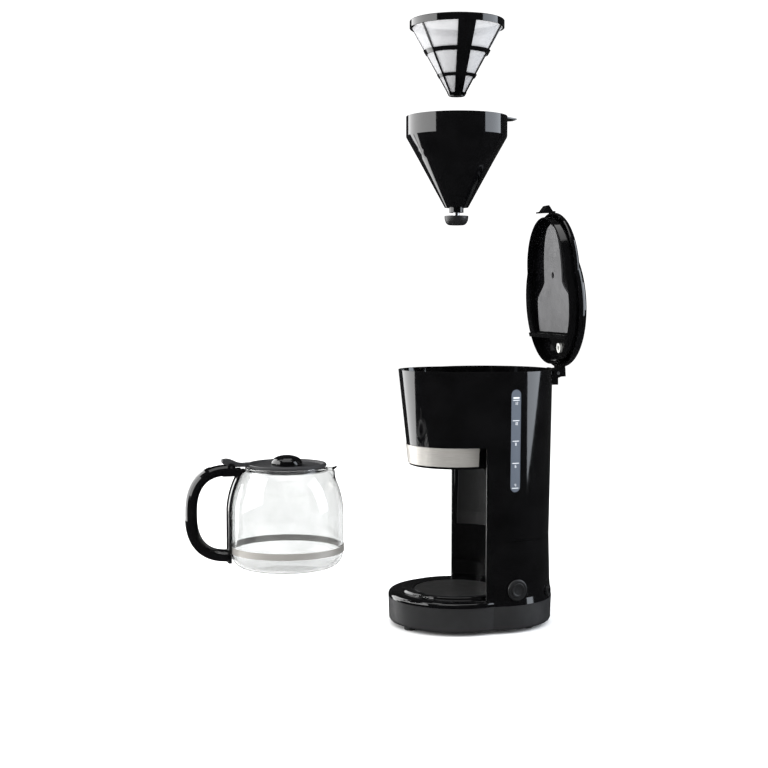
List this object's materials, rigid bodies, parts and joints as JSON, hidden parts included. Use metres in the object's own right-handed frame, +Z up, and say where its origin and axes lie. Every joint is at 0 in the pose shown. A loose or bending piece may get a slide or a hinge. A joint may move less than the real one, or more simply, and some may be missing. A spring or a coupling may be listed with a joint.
{
  "type": "drip coffee maker",
  "caption": "Drip coffee maker with a round brewing head over a hot plate, a rear water tank with a gauge, a hinged lid, a lift-out filter holder and filter, and a lidded glass jug.",
  "frame": {"origin": "on the floor, on the axis of the hot plate", "axes": "+Z up; -Y is the front, where the jug is pulled out; +X is the side with the water gauge and the power button"},
  "size_m": [0.162, 0.47, 0.7175],
  "materials": {
    "base_pan": "satin",
    "rubber_feet": "matt",
    "black_gloss": "gloss",
    "black_satin": "satin",
    "hot_plate": "non-stick coating",
    "seal": "matt",
    "heater": "as formed",
    "steel_fittings": "zinc plated",
    "ceramic": "matt",
    "gauge": "clear tinted",
    "steel_band": "brushed around",
    "silicone": "matt translucent",
    "drip_seal": "matt",
    "filter_mesh": "fine woven mesh",
    "jug_glass": "clear",
    "jug_lid": "fine texture"
  },
  "bodies": {
    "machine": {"base_pan": "base_pan", "rubber_feet": "rubber_feet", "lower_housing": "black_gloss", "hot_plate": "hot_plate", "plate_seal": "seal", "heater_tube": "heater", "heater_clamps": "steel_fittings", "thermostat": "ceramic", "thermal_fuse": "ceramic", "upper_housing": "black_gloss", "bay_panel": "black_satin", "gauge_window": "gauge", "steel_band": "steel_band", "tank_outlet": "silicone", "check_valve": "ceramic", "cold_hose": "silicone", "riser_tube": "silicone", "hose_clamps": "steel_fittings", "button_bezel": "black_satin", "switch_block": "black_satin", "terminal_block": "ceramic", "cord_inlet": "black_satin", "base_screws": "steel_fittings", "lid_hinge_pin": "steel_fittings", "button_spring": "steel_fittings"},
    "lid": {"lid_shell": "black_gloss", "lid_liner": "black_satin", "lid_channel": "black_satin", "lid_port_seal": "silicone"},
    "holder": {"filter_holder": "black_gloss", "drip_spring": "steel_fittings"},
    "drip_valve": {"drip_plunger": "black_satin", "drip_seal": "drip_seal"},
    "filter": {"filter_frame": "black_gloss", "filter_mesh": "filter_mesh"},
    "jug": {"jug_glass": "jug_glass", "jug_band": "steel_band", "jug_handle": "black_gloss", "handle_spine": "black_satin", "handle_screws": "steel_fittings", "jug_hinge_pin": "steel_fittings"},
    "jug_lid": {"jug_lid": "jug_lid", "jug_knob": "black_gloss"},
    "power_button": {"button_cap": "black_satin"}
  },
  "joints": [
    {"name": "lid_hinge", "type": "hinge", "parent": "machine", "child": "lid", "pos_m": [0, 0.124, 0.3005], "axis": [-1, 0, 0], "range_deg": [-87, 0]},
    {"name": "holder_lift", "type": "slide", "parent": "machine", "child": "holder", "axis": [0, 0, 1], "range_m": [-0.302, 0]},
    {"name": "drip_valve_push", "type": "slide", "parent": "holder", "child": "drip_valve", "axis": [0, 0, 1], "range_m": [0, 0.0034], "stiffness_N_per_m": 400},
    {"name": "filter_lift", "type": "slide", "parent": "holder", "child": "filter", "axis": [0, 0, 1], "range_m": [-0.128, 0]},
    {"name": "jug_slide", "type": "slide", "parent": "machine", "child": "jug", "axis": [0, -0.9851, 0.1721], "range_m": [-0.20912, 0]},
    {"name": "jug_lid_hinge", "type": "hinge", "parent": "jug", "child": "jug_lid", "pos_m": [0, -0.272, 0.1967], "axis": [1, 0, 0], "range_deg": [0, 75]},
    {"name": "power_button_push", "type": "slide", "parent": "machine", "child": "power_button", "axis": [-0.9848, -0.1736, 0], "range_m": [0, 0.003], "stiffness_N_per_m": 500}
  ]
}
